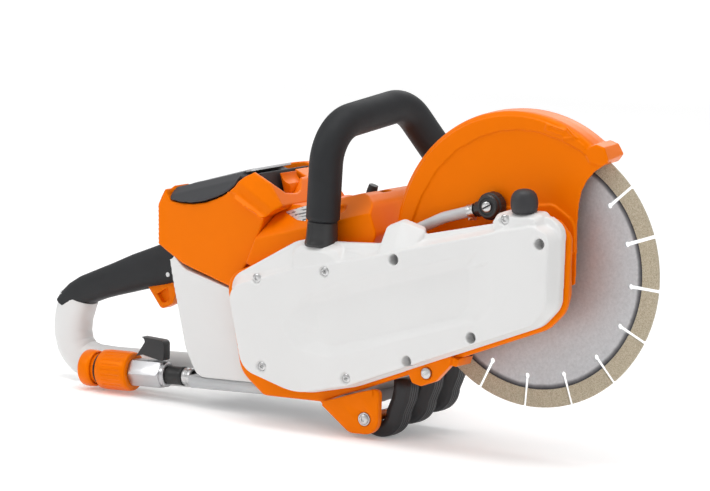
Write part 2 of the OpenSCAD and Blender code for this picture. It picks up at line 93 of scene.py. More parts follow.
# ---------------------------------------------------------------- camera, light and floor
def camera():
    """A long lens from the saw's right-hand side, ahead of the blade."""
    right = Vector((math.cos(VIEW_AZIMUTH), math.sin(VIEW_AZIMUTH), 0))
    level = math.cos(VIEW_ELEVATION)
    ahead = Vector((-right.y * level, right.x * level, -math.sin(VIEW_ELEVATION)))
    up = right.cross(ahead)
    place = VIEW_RIGHT * right + VIEW_UP * up - VIEW_DISTANCE * ahead
    turn = Matrix((right, up, -ahead)).transposed().to_4x4()
    cam = bpy.data.objects.new("camera", bpy.data.cameras.new("camera"))
    bpy.context.scene.collection.objects.link(cam)
    cam.data.sensor_width = SENSOR_MM
    cam.data.lens = LENS_MM
    cam.data.clip_end = 50
    cam.matrix_world = Matrix.Translation(SAW @ place) @ Matrix.Rotation(-NOSE_UP, 4, "Y") @ turn
    bpy.context.scene.camera = cam


def softbox(name, place, target, size, power):
    """An area light that faces a target."""
    lamp = bpy.data.lights.new(name, "AREA")
    lamp.shape = "RECTANGLE"
    lamp.size, lamp.size_y = size
    lamp.energy = power
    ob = bpy.data.objects.new(name, lamp)
    bpy.context.scene.collection.objects.link(ob)
    ob.location = place
    ob.rotation_euler = (Vector(target) - Vector(place)).to_track_quat("-Z", "Y").to_euler()


def studio():
    """A pale floor, a bright even world and four soft boxes."""
    world = bpy.data.worlds.new("studio")
    bpy.context.scene.world = world
    world.use_nodes = True
    world.node_tree.nodes["Background"].inputs["Color"].default_value = (1, 1, 1, 1)
    world.node_tree.nodes["Background"].inputs["Strength"].default_value = WORLD_STRENGTH
    for name, values in SOFT_BOXES.items():
        softbox(name, *values)
    bm = bmesh.new()
    bmesh.ops.create_grid(bm, x_segments=2, y_segments=2, size=FLOOR_HALF)
    mesh = bpy.data.meshes.new("floor")
    bm.to_mesh(mesh)
    bm.free()
    floor = bpy.data.objects.new("floor", mesh)
    bpy.context.scene.collection.objects.link(floor)
    floor.data.materials.append(paper())
    bpy.context.scene.view_settings.view_transform = "Standard"


# ---------------------------------------------------------------- materials
class Shader:
    """A node material with a Principled shader: noise, bump and colour variation are added by name."""

    def __init__(self, name, colour, roughness, metallic=0.0, specular=0.5, tint=(1, 1, 1)):
        self.mat = bpy.data.materials.new(name)
        self.mat.use_nodes = True
        self.tree = self.mat.node_tree
        self.bsdf = self.tree.nodes["Principled BSDF"]
        self.colour = (*colour, 1)
        self.roughness = roughness
        self.bsdf.inputs["Base Color"].default_value = self.colour
        self.bsdf.inputs["Roughness"].default_value = roughness
        self.bsdf.inputs["Metallic"].default_value = metallic
        self.bsdf.inputs["Specular IOR Level"].default_value = specular
        self.bsdf.inputs["Specular Tint"].default_value = (*tint, 1)
        self.coords = self.node("ShaderNodeTexCoord").outputs["Object"]
        self.normal = None

    def node(self, kind, **values):
        """A node with its properties and its inputs' values set."""
        n = self.tree.nodes.new(kind)
        for key, value in values.items():
            if key in n.inputs:
                n.inputs[key].default_value = value
            else:
                setattr(n, key, value)
        return n

    def link(self, a, b):
        self.tree.links.new(a, b)
        return self

    def noise(self, scale, detail=4, rough=0.55, stretch=(1, 1, 1)):
        """Noise in the piece's own metres, stretched along its axes."""
        place = self.node("ShaderNodeMapping")
        place.inputs["Scale"].default_value = stretch
        self.link(self.coords, place.inputs["Vector"])
        n = self.node("ShaderNodeTexNoise", Scale=scale, Detail=detail, Roughness=rough)
        self.link(place.outputs[0], n.inputs["Vector"])
        return n.outputs["Fac"]

    def ramp(self, value, stops):
        """A colour ramp over a value: stops are (place, colour)."""
        n = self.node("ShaderNodeValToRGB")
        while len(n.color_ramp.elements) < len(stops):
            n.color_ramp.elements.new(0.5)
        for element, (place, colour) in zip(n.color_ramp.elements, stops):
            element.position = place
            element.color = (*colour, 1)
        self.link(value, n.inputs["Fac"])
        return n.outputs["Color"]

    def span(self, value, low, high, from_low=0.0, from_high=1.0):
        """A value mapped to another range."""
        n = self.node("ShaderNodeMapRange")
        for key, v in zip(("From Min", "From Max", "To Min", "To Max"), (from_low, from_high, low, high)):
            n.inputs[key].default_value = v
        self.link(value, n.inputs["Value"])
        return n.outputs["Result"]

    def bump(self, height, strength=0.2, distance=0.0004):
        """Adds a height to the surface."""
        n = self.node("ShaderNodeBump", Strength=strength, Distance=distance)
        self.link(height, n.inputs["Height"])
        if self.normal:
            self.link(self.normal, n.inputs["Normal"])
        self.normal = n.outputs["Normal"]
        self.link(self.normal, self.bsdf.inputs["Normal"])
        return self

    def mottled(self, scale, amount):
        """The colour a little lighter and darker from place to place."""
        light = tuple(min(1.0, c * (1 + amount)) for c in self.colour[:3])
        deep = tuple(c * (1 - amount) for c in self.colour[:3])
        self.link(self.ramp(self.noise(scale, 3), [(0.3, deep), (0.7, light)]),
                  self.bsdf.inputs["Base Color"])
        return self

    def uneven_gloss(self, scale, spread, stretch=(1, 1, 1)):
        """Roughness that varies from place to place, as handling leaves it."""
        low, high = self.roughness - spread, self.roughness + spread
        self.link(self.span(self.noise(scale, 5, stretch=stretch), low, high, 0.3, 0.7),
                  self.bsdf.inputs["Roughness"])
        return self


def paper():
    """White paper with a glow that grows with distance: the background is white and the shadow stays."""
    s = Shader("floor_paper", (0.9, 0.9, 0.9), 0.9, specular=0.1)
    s.mottled(3, 0.01)
    s.bsdf.inputs["Emission Color"].default_value = (1, 1, 1, 1)
    reach = s.node("ShaderNodeVectorMath", operation="LENGTH")
    s.link(s.coords, reach.inputs[0])
    glow = s.span(reach.outputs["Value"], FLOOR_GLOW_NEAR, FLOOR_GLOW_FAR, FLOOR_NEAR, FLOOR_FAR)
    s.link(glow, s.bsdf.inputs["Emission Strength"])
    return s.mat


def moulded_plastic(name, colour, roughness, grain=0.12, tint=(1, 1, 1)):
    """Satin moulded plastic with a fine spark-eroded grain."""
    s = Shader(name, colour, roughness, tint=tint)
    s.mottled(9, 0.02).uneven_gloss(14, 0.05)
    s.bump(s.noise(2600, 2), grain, 0.00012)
    s.bump(s.noise(40, 2), 0.1, 0.0003)
    return s.mat


def powder_coat(name, colour, tint=(1, 1, 1)):
    """Powder coat with a slight orange peel."""
    s = Shader(name, colour, 0.34, tint=tint)
    s.mottled(11, 0.025).uneven_gloss(18, 0.05)
    s.bump(s.noise(520, 3), 0.16, 0.0002)
    return s.mat


def soft_rubber(name, colour, roughness, pebble=900):
    """Matte rubber or foam with a pebbled skin and lighter patches."""
    s = Shader(name, colour, roughness, specular=0.35)
    s.mottled(30, 0.12).uneven_gloss(25, 0.07)
    s.bump(s.noise(pebble, 3, 0.6), 0.35, 0.00035)
    return s.mat


def turned_metal(name, colour, roughness, lines=(1, 1, 1)):
    """Machined or plated metal with fine tool lines along one axis."""
    s = Shader(name, colour, roughness, metallic=1.0)
    s.mottled(60, 0.05).uneven_gloss(120, 0.08, lines)
    s.bump(s.noise(900, 2, stretch=lines), 0.12, 0.0001)
    return s.mat


def label_print():
    """A silver label with plain dark lines across it, as a rating plate has."""
    s = Shader("rating_plate_print", (0.7, 0.7, 0.69), 0.35, metallic=0.6)
    rows = s.node("ShaderNodeTexWave", wave_type="BANDS", bands_direction="Y", Scale=95.0, Distortion=0.0)
    s.link(s.coords, rows.inputs["Vector"])
    cells = s.span(s.noise(420, 1, stretch=(0.4, 1, 1)), 0, 1, 0.46, 0.5)
    lines = s.node("ShaderNodeMath", operation="MULTIPLY")
    s.link(s.span(rows.outputs["Fac"], 0, 1, 0.55, 0.6), lines.inputs[0])
    s.link(cells, lines.inputs[1])
    print_colour = s.ramp(lines.outputs[0], [(0.4, (0.7, 0.7, 0.69)), (0.6, (0.16, 0.16, 0.17))])
    s.link(print_colour, s.bsdf.inputs["Base Color"])
    s.uneven_gloss(60, 0.06)
    s.bump(s.noise(300, 3), 0.08, 0.0001)
    return s.mat


def blade_steel():
    """Rolled steel with a fine satin grain, faint turning marks and a dark heat line at the weld."""
    s = Shader("blade_core_steel", (0.66, 0.675, 0.69), 0.5, metallic=0.45)
    place = s.node("ShaderNodeVectorMath", operation="SUBTRACT")
    s.link(s.coords, place.inputs[0])
    place.inputs[1].default_value = BLADE_CENTRE
    flat = s.node("ShaderNodeVectorMath", operation="MULTIPLY")
    s.link(place.outputs[0], flat.inputs[0])
    flat.inputs[1].default_value = (1, 0, 1)
    far = s.node("ShaderNodeVectorMath", operation="LENGTH")
    s.link(flat.outputs[0], far.inputs[0])
    radius = far.outputs["Value"]
    wobble = s.node("ShaderNodeMath", operation="MULTIPLY_ADD")
    s.link(s.noise(90, 3), wobble.inputs[0])
    wobble.inputs[1].default_value = 0.0016
    s.link(radius, wobble.inputs[2])
    bright, heated, dark = (0.56, 0.57, 0.585), (0.2, 0.2, 0.21), (0.05, 0.05, 0.055)
    ring = s.ramp(s.span(wobble.outputs[0], 0, 1, 0.090, 0.104), [(0.0, bright), (0.42, bright),
            (0.56, heated), (0.7, dark), (0.85, dark)])
    mottle = s.ramp(s.noise(420, 6, 0.7), [(0.35, (0.84, 0.84, 0.84)), (0.65, (1.0, 1.0, 1.0))])
    mix = s.node("ShaderNodeMix", data_type="RGBA", blend_type="MULTIPLY")
    mix.inputs["Factor"].default_value = 1.0
    s.link(ring, mix.inputs["A"])
    s.link(mottle, mix.inputs["B"])
    s.link(mix.outputs["Result"], s.bsdf.inputs["Base Color"])
    s.uneven_gloss(240, 0.08)
    s.bump(s.noise(1500, 4, 0.7), 0.35, 0.0002)
    turns = s.node("ShaderNodeTexNoise", noise_dimensions="1D", Scale=1400.0, Detail=3.0)
    s.link(radius, turns.inputs["W"])
    s.bump(turns.outputs["Fac"], 0.08, 0.0001)
    return s.mat


def diamond_grit():
    """Sintered bronze and grit: sandy and coarse, with a bumpy cell pattern."""
    s = Shader("diamond_segment", (0.36, 0.31, 0.215), 0.72, metallic=0.25)
    sand = s.ramp(s.noise(1300, 5, 0.75), [(0.3, (0.26, 0.22, 0.15)), (0.5, (0.47, 0.41, 0.3)),
                                           (0.72, (0.68, 0.62, 0.5))])
    s.link(sand, s.bsdf.inputs["Base Color"])
    cells = s.node("ShaderNodeTexVoronoi", Scale=620.0)
    s.link(s.coords, cells.inputs["Vector"])
    s.uneven_gloss(300, 0.1)
    s.bump(cells.outputs["Distance"], 0.6, 0.0005)
    s.bump(s.noise(2600, 4), 0.3, 0.0002)
    return s.mat


WHITE = (0.72, 0.72, 0.715)
ORANGE = (0.84, 0.165, 0.0)
# The tint of an orange piece's reflections, which keeps its highlights orange.
GLOW = (1, 0.42, 0.04)


def make_materials():
    """One material per finish, by the record's slot."""
    m = {}
    m["housing_white"] = moulded_plastic("white_moulding", WHITE, 0.42)
    m["cover_white"] = moulded_plastic("white_cover", WHITE, 0.4)
    m["housing_orange"] = moulded_plastic("orange_moulding", ORANGE, 0.38, tint=GLOW)
    m["casting_orange"] = powder_coat("orange_casting", ORANGE, GLOW)
    m["guard_orange"] = powder_coat("orange_guard", ORANGE, GLOW)
    m["tray_grey"] = moulded_plastic("grey_tray", (0.55, 0.56, 0.57), 0.45)
    m["grip_black"] = soft_rubber("rear_grip_rubber", (0.016, 0.017, 0.019), 0.55, 1400)
    m["foam_black"] = soft_rubber("handle_foam", (0.012, 0.013, 0.015), 0.6, 1100)
    m["tube_black"] = powder_coat("black_tube", (0.02, 0.02, 0.021))
    m["black_plastic"] = moulded_plastic("black_plastic", (0.02, 0.02, 0.021), 0.4)
    m["screw_steel"] = turned_metal("zinc_plate", (0.6, 0.6, 0.6), 0.3)
    m["machined_steel"] = turned_metal("machined_steel", (0.62, 0.62, 0.63), 0.28)
    m["blade_steel"] = blade_steel()
    m["diamond"] = diamond_grit()
    m["belt_rubber"] = soft_rubber("belt_rubber", (0.02, 0.02, 0.02), 0.6)
    m["winding"] = turned_metal("copper_winding", (0.6, 0.25, 0.1), 0.35)
    m["board_green"] = moulded_plastic("circuit_board", (0.02, 0.12, 0.05), 0.3)
    m["hose_grey"] = soft_rubber("water_hose", (0.52, 0.53, 0.54), 0.4, 500)
    m["hose_black"] = soft_rubber("inlet_hose", (0.02, 0.02, 0.02), 0.35, 500)
    m["coupling_orange"] = moulded_plastic("orange_coupling", ORANGE, 0.3, tint=GLOW)
    m["valve_metal"] = turned_metal("nickel_plate", (0.5, 0.5, 0.51), 0.34)
    m["battery_dark"] = moulded_plastic("battery_dark", (0.035, 0.036, 0.04), 0.5, 0.3)
    m["battery_grey"] = moulded_plastic("battery_grey", (0.045, 0.047, 0.052), 0.4, 0.2)
    m["plate_silver"] = turned_metal("rating_plate", (0.66, 0.66, 0.64), 0.35)
    m["knob_rubber"] = soft_rubber("knob_rubber", (0.035, 0.035, 0.038), 0.5)
    m["apron_rubber"] = soft_rubber("apron_rubber", (0.022, 0.022, 0.024), 0.42, 700)
    return m


camera()
studio()
MATERIALS = make_materials()
for part in frame["record"]["subparts"]:
    mesh = NODES[part["node"]].data
    mesh.materials.clear()
    mesh.materials.append(MATERIALS[part["material_slot"]])


# ---------------------------------------------------------------- shapes, in the saw's millimetres
def corner(a, b, c, r, n):
    """The arc of radius r that rounds b between a and c, as n + 1 points."""
    if r <= 0:
        return [b] * (n + 1)
    u, v = (a - b).normalized(), (c - b).normalized()
    half = u.angle(v) / 2
    m = b + (u + v).normalized() * (r / math.sin(half))
    s = b + u * (r / math.tan(half)) - m
    e = b + v * (r / math.tan(half)) - m
    turn = s.angle(e)
    w = (v - v.project(s)).normalized() * r
    return [m + s * math.cos(turn * i / n) + w * math.sin(turn * i / n) for i in range(n + 1)]


def rounded(points, n=8):
    """An outline of (x, z, corner radius) as (x, z) pairs, the same number for every corner."""
    flat = [Vector((p[0], 0, p[1])) for p in points]
    out = []
    for i, p in enumerate(points):
        out += corner(flat[i - 1], flat[i], flat[(i + 1) % len(flat)], p[2], n)
    return [(q.x, q.z) for q in out]


def arc(c, r, a0, a1, n=32):
    """Points of a circle's arc from a0 to a1 degrees."""
    return [(c[0] + r * math.cos(math.radians(a0 + (a1 - a0) * i / n)), c[1]
             + r * math.sin(math.radians(a0 + (a1 - a0) * i / n))) for i in range(n + 1)]


def route(points, step=3.0, n=10):
    """A path of (position, fillet radius), resampled evenly."""
    p = [Vector(q[0]) for q in points]
    out = [p[0]]
    for i in range(1, len(p) - 1):
        out += corner(p[i - 1], p[i], p[i + 1], points[i][1], n)
    out.append(p[-1])
    co = np.array([list(q) for q in out])
    far = np.concatenate([[0], np.cumsum(np.linalg.norm(np.diff(co, axis=0), axis=1))])
    marks = np.linspace(0, far[-1], max(3, int(far[-1] / step)))
    return [Vector([np.interp(s, far, co[:, k]) for k in range(3)]) for s in marks]


def made(name, bm):
    """The mesh object of a bmesh, with its doubled points merged."""
    bmesh.ops.remove_doubles(bm, verts=bm.verts, dist=1e-3)
    bmesh.ops.recalc_face_normals(bm, faces=bm.faces)
    mesh = bpy.data.meshes.new(name)
    bm.to_mesh(mesh)
    bm.free()
    ob = bpy.data.objects.new(name, mesh)
    bpy.context.scene.collection.objects.link(ob)
    return ob


def loft(name, rings, looped=False):
    """A closed skin through rings of points, capped at both ends or looped back to the first."""
    bm = bmesh.new()
    rows = [[bm.verts.new(p) for p in ring] for ring in rings]
    pairs = list(zip(rows, rows[1:])) + ([(rows[-1], rows[0])] if looped else [])
    for a, b in pairs:
        for i in range(len(a)):
            j = (i + 1) % len(a)
            bm.faces.new((a[i], a[j], b[j], b[i]))
    if not looped:
        bm.faces.new(rows[0])
        bm.faces.new(list(reversed(rows[-1])))
    return made(name, bm)


def drafted(name, sections):
    """A skin through outlines with the same number of points, given as (y, outline)."""
    return loft(name, [[(x, y, z) for x, z in line] for y, line in sections])


def layers(name, *sections, n=8):
    """A skin through rounded outlines, given as (y, outline with corner radii)."""
    return drafted(name, [(y, rounded(line, n)) for y, line in sections])


def prism(name, outline, y0, y1):
    """A slab along Y: the outline is (x, z) pairs."""
    return drafted(name, [(y0, outline), (y1, outline)])


def across(name, outline, x0, x1):
    """A slab along X: the outline is (y, z) pairs."""
    return loft(name, [[(x0, y, z) for y, z in outline], [(x1, y, z) for y, z in outline]])


def lathe(name, profile, centre, axis, n=48):
    """A closed profile of (along, radius) turned round an axis."""
    axis = Vector(axis).normalized()
    u = axis.orthogonal().normalized()
    v = axis.cross(u)
    rings = []
    for k in range(n):
        a = 2 * math.pi * k / n
        rings.append([Vector(centre) + axis * s + (u * math.cos(a) + v * math.sin(a)) * r
                      for s, r in profile])
    return loft(name, rings, looped=True)


def spun(name, profile, x, z, n=40, y=0):
    """A closed profile of (along, radius) turned round a line along Y."""
    return lathe(name, profile, (x, y, z), (0, 1, 0), n)


def oval(a, b, power=2.0, n=32):
    """A superellipse with half-widths a and b, as (across, up) pairs."""
    out = []
    for k in range(n):
        c, s = math.cos(2 * math.pi * k / n), math.sin(2 * math.pi * k / n)
        out.append((a * math.copysign(abs(c) ** (2 / power), c), b * math.copysign(abs(s) ** (2 / power),
                s)))
    return out


def sweep(name, path, section, side=None):
    """A section of (across, up) pairs carried along a path, or section(t) for t from 0 to 1."""
    path = [Vector(p) for p in path]
    s = side and Vector(side)
    rings = []
    for i, p in enumerate(path):
        t = (path[min(i + 1, len(path) - 1)] - path[max(i - 1, 0)]).normalized()
        s = t.orthogonal() if s is None else s
        s = (s - t * s.dot(t)).normalized()
        u = t.cross(s)
        pairs = section(i / (len(path) - 1)) if callable(section) else section
        rings.append([p + s * a + u * b for a, b in pairs])
    return loft(name, rings)


def modifier(ob, kind, **values):
    m = ob.modifiers.new(kind.lower(), kind)
    for key, value in values.items():
        setattr(m, key, value)


def bake(ob):
    """Makes the modifiers' result the mesh."""
    mesh = bpy.data.meshes.new_from_object(ob.evaluated_get(bpy.context.evaluated_depsgraph_get()))
    old, ob.data = ob.data, mesh
    ob.modifiers.clear()
    bpy.data.meshes.remove(old)
    return ob


def joined(ob, others, operation="UNION"):
    """ob with the others added, cut away or kept in common."""
    for other in others if isinstance(others, (list, tuple)) else [others]:
        modifier(ob, "BOOLEAN", object=other, operation=operation, solver="MANIFOLD")
        bake(ob)
        bpy.data.objects.remove(other)
    return ob


def cut(ob, others):
    return joined(ob, others, "DIFFERENCE")


def common(ob, others):
    return joined(ob, others, "INTERSECT")


def moulded(ob, voxel=0.9, passes=6, keep=0.3):
    """The shape as a moulding: one skin with every edge and inside corner softened."""
    modifier(ob, "REMESH", mode="VOXEL", voxel_size=voxel)
    modifier(ob, "SMOOTH", factor=0.5, iterations=passes)
    if keep < 1:
        modifier(ob, "DECIMATE", ratio=keep)
    return bake(ob)


def bevelled(ob, width, segments=3, angle=32):
    """Rounded edges on a crisp shape."""
    modifier(ob, "BEVEL", width=width, segments=segments, limit_method="ANGLE",
             angle_limit=math.radians(angle), miter_outer="MITER_ARC", use_clamp_overlap=True)
    modifier(ob, "WEIGHTED_NORMAL", keep_sharp=True)
    return ob


def shown(ob, body, slot, *nodes, material=None):
    """Moves a piece from millimetres to the row frame, rides it on its body and shows it for its nodes."""
    bake(ob)
    ob.data.transform(SAW)
    ob.data.shade_smooth()
    ob.data.materials.clear()
    ob.data.materials.append(material or MATERIALS[slot])
    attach(ob, body)
    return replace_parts(ob, *nodes) if nodes else ob


def screw_head(name, x, y, z, d):
    """A domed head with a six-lobed socket, facing the -Y side, its crown at y."""
    r = d / 2
    head = spun(name, [(0, 0), (0, 0.5 * r), (0.25, 0.78 * r), (0.9, r), (1.9, r), (1.9, 0)], x, z, 36, y)
    lobes = []
    for a in np.linspace(0, 2 * math.pi, 60, endpoint=False):
        reach = 0.42 * r * (1 + 0.16 * math.cos(6 * a))
        lobes.append((reach * math.cos(a) + x, reach * math.sin(a) + z))
    cut(head, prism("socket", lobes, y - 1, y + 1.2))
    return shown(bevelled(head, 0.12, 2), "chassis", "screw_steel")


# ---------------------------------------------------------------- the arm: cover, casting and guard
SCREWS = [(-239, -17), (-234, -91.5), (-150, -95.5), (-171, -7), (1.5, 47)]
WELLS = [(-103, 7.5), (36, 29), (-28.5, -52.5), (-90.5, -76.5)]
COVER = [(-274, -20, 16), (-259, -97, 22), (-200, -114, 60), (-148, -104, 60), (30, -41, 28), (47, -24, 20),
         (50, 42, 14), (38, 50, 8), (-6, 50, 8), (-13, 42, 6), (-90, 27, 10), (-128, 18, 12), (-160, 17, 20),
         (-204, 17, 30)]
FOOT = [(-272, -22, 16), (-257, -96, 22), (-200, -113, 60), (-148, -102, 60), (29, -40, 28), (46, -24, 20),
        (49, 38, 14), (30, 47, 10), (-2, 41, 10), (-20, 37, 6), (-90, 22, 10), (-128, 13, 12),
        (-160, 12, 20), (-203, 13, 30)]
FACE = [(-268, -26, 14), (-254, -95, 20), (-200, -112, 55), (-148, -101.5, 60), (28, -38.5, 24),
        (43, -22, 20), (45.5, 36, 12), (30, 43.5, 10), (-2, 38, 10), (-20, 33, 6), (-92, 17, 10),
        (-130, 8, 12), (-158, 2, 20), (-198, -5, 30)]


def inward(outline, d):
    """An (x, z, r) outline moved towards its own middle by about d."""
    cx = sum(p[0] for p in outline) / len(outline)
    cz = sum(p[1] for p in outline) / len(outline)
    out = []
    for i, p in enumerate(outline):
        a, b = Vector(outline[i - 1][:2]), Vector(outline[(i + 1) % len(outline)][:2])
        along = (b - a).normalized()
        n = Vector((-along.y, along.x))
        if n.dot(Vector((cx - p[0], cz - p[1]))) < 0:
            n = -n
        out.append((p[0] + n.x * d, p[1] + n.y * d, p[2]))
    return out


def arm_cover():
    ob = layers("arm_cover_skin", (-38, COVER), (-46, COVER), (-48, FOOT), (-58, inward(FACE, -0.2)),
                (-59.5, inward(FACE, 0.2)), (-60, inward(FACE, 1.0)))
    knob_bump = layers("bump", (-38, [(-20, 30, 4), (-11, 51, 6), (0, 54, 6), (33, 54, 6), (44, 30, 4)]),
                       (-48, [(-19, 30, 4), (-10, 50.5, 6), (0, 53, 6), (32, 53, 6), (43, 30, 4)]),
                       (-57.5, [(-16, 26, 4), (-8, 46.5, 6), (1, 49.5, 6), (30, 49.5, 6), (39, 26, 4)]))
    hood = layers("hood", (-38, [(-136, 8, 4), (-119, 34, 5), (-104, 40, 5), (-84, 34, 3), (-84, 8, 3)]),
                  (-46, [(-135, 8, 4), (-117, 33, 5), (-103, 38, 5), (-80, 32, 3), (-80, 8, 3)]),
                  (-57.5, [(-130, 2, 4), (-120, 10, 5), (-104, 15, 5), (-86, 17, 3), (-84, 2, 3)]))
    shelf = layers("shelf", (-38, [(-216, -10, 4), (-204, 17.2, 12), (-160, 17.2, 14), (-140, -10, 4)]),
                   (-50, [(-216, -10, 4), (-203, 15.4, 12), (-161, 15.4, 14), (-141, -10, 4)]),
                   (-56, [(-214, -12, 4), (-201, 13.6, 12), (-163, 13.0, 16), (-143, -10, 4)]),
                   (-59.2, [(-212, -14, 4), (-199, 10.6, 12), (-167, 8.4, 18), (-146, -10, 4)]))
    joined(ob, [knob_bump, hood, shelf])
    outer = [(-214, -55, 12), (-192, -30, 16), (-160, -17, 20), (16, 28, 5), (-10, 12, 4), (-10, -24, 14),
             (-22, -38, 12), (-165, -80, 24), (-196, -74, 14)]
    floor = [(-197, -52, 8), (-181, -35, 10), (-164, -29, 16), (-36, 5, 5), (-31, 3, 4), (-31, -25, 12),
             (-43, -38, 12), (-164, -70, 22), (-183, -65, 12)]
    rings = [(-62, inward(outer, -0.6)), (-60, outer), (-59.6, inward(outer, 0.6)), (-55.7, floor),
             (-55.5, inward(floor, 1.0))]
    cut(ob, layers("recess", *rings))
    pockets = [spun("pocket", [(-10, 0), (-10, 4.9), (0, 4.7), (13, 4.4), (13, 0)], x, z, 32, -60)
               for x, z in WELLS]
    pockets += [spun("pocket", [(-10, 0), (-10, 5.0), (2.6, 4.8), (2.6, 0)], x, z, 32,
                     -60 if z < 40 else -57.2) for x, z in SCREWS]
    belt_loop = arc((0, 0), 27, -77.6, 102.4, 24) + arc((MOTOR_X, MOTOR_Z), 23, 102.4, 282.4, 24)
    cut(ob, [*pockets, prism("belt_room", belt_loop, -53.2, -37)])
    shown(moulded(ob, 0.9, 3, 0.5), "chassis", "cover_white", "arm_cover")
    for i, (x, z) in enumerate(SCREWS):
        screw_head(f"cover_screw_{i}", x, -58.6 if z < 40 else -56.0, z, 8.6)
    for i, (x, z) in enumerate(WELLS):
        screw_head(f"well_screw_{i}", x, -49.4, z, 8.0)
    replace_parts(bpy.data.objects["cover_screw_0"], "cover_screws")


CASTING = [(-284, -20, 18), (-269, -101, 24), (-246, -120, 8), (-186, -121, 6), (-166, -113, 20),
           (-146, -107, 40), (32, -44, 30), (50, -27, 22), (53, 34, 12), (42, 47, 10), (20, 50, 8),
           (-14, 42, 8), (-128, 15, 16), (-200, 15, 40)]
ARM_BOX = [(-141, -8, 8), (-60, 12, 20), (-22, 30, 16), (26, 30, 16), (45, 12, 16), (45, -24, 18),
           (22, -42, 26), (-60, -73, 20), (-141, -100, 8)]


def arm_casting():
    ob = layers("arm_casting_skin", (-37.9, inward(CASTING, 1.2)), (-37.2, inward(CASTING, 0.3)),
                (-36, CASTING), (-33, CASTING), (-31, inward(CASTING, 1.5)))
    box = layers("box", (-33, ARM_BOX), (-19, inward(ARM_BOX, 1.0)), (-17, inward(ARM_BOX, 3)))
    rib_foot = [(-60, 14, 6), (-22, 36, 8), (24, 42, 10), (47, 28, 10), (47, -10, 10), (0, -10, 4)]
    rib_top = [(-58, 12, 6), (-22, 34, 8), (24, 40, 10), (45, 26, 10), (45, -10, 10), (0, -10, 4)]
    rib = layers("rib", (-33, rib_foot), (-24, rib_top))
    boss = spun("boss", [(-20, 16), (-20, 24), (-11, 24), (-10.2, 23.2), (-10.2, 16)], 0, 0, 64)
    joined(ob, [box, rib, boss])
    spindle_bore = spun("bore", [(-45, 0), (-45, 16.2), (0, 16.2), (0, 0)], 0, 0, 64)
    motor_bore = spun("bore", [(-45, 0), (-45, 13), (0, 13), (0, 0)], MOTOR_X, MOTOR_Z, 48)
    cut(ob, [spindle_bore, motor_bore])
    shown(moulded(ob, 1.0, 4, 0.35), "chassis", "casting_orange", "arm_casting")


GUARD_C, FITTING = (-13, 16), (-31, 53)


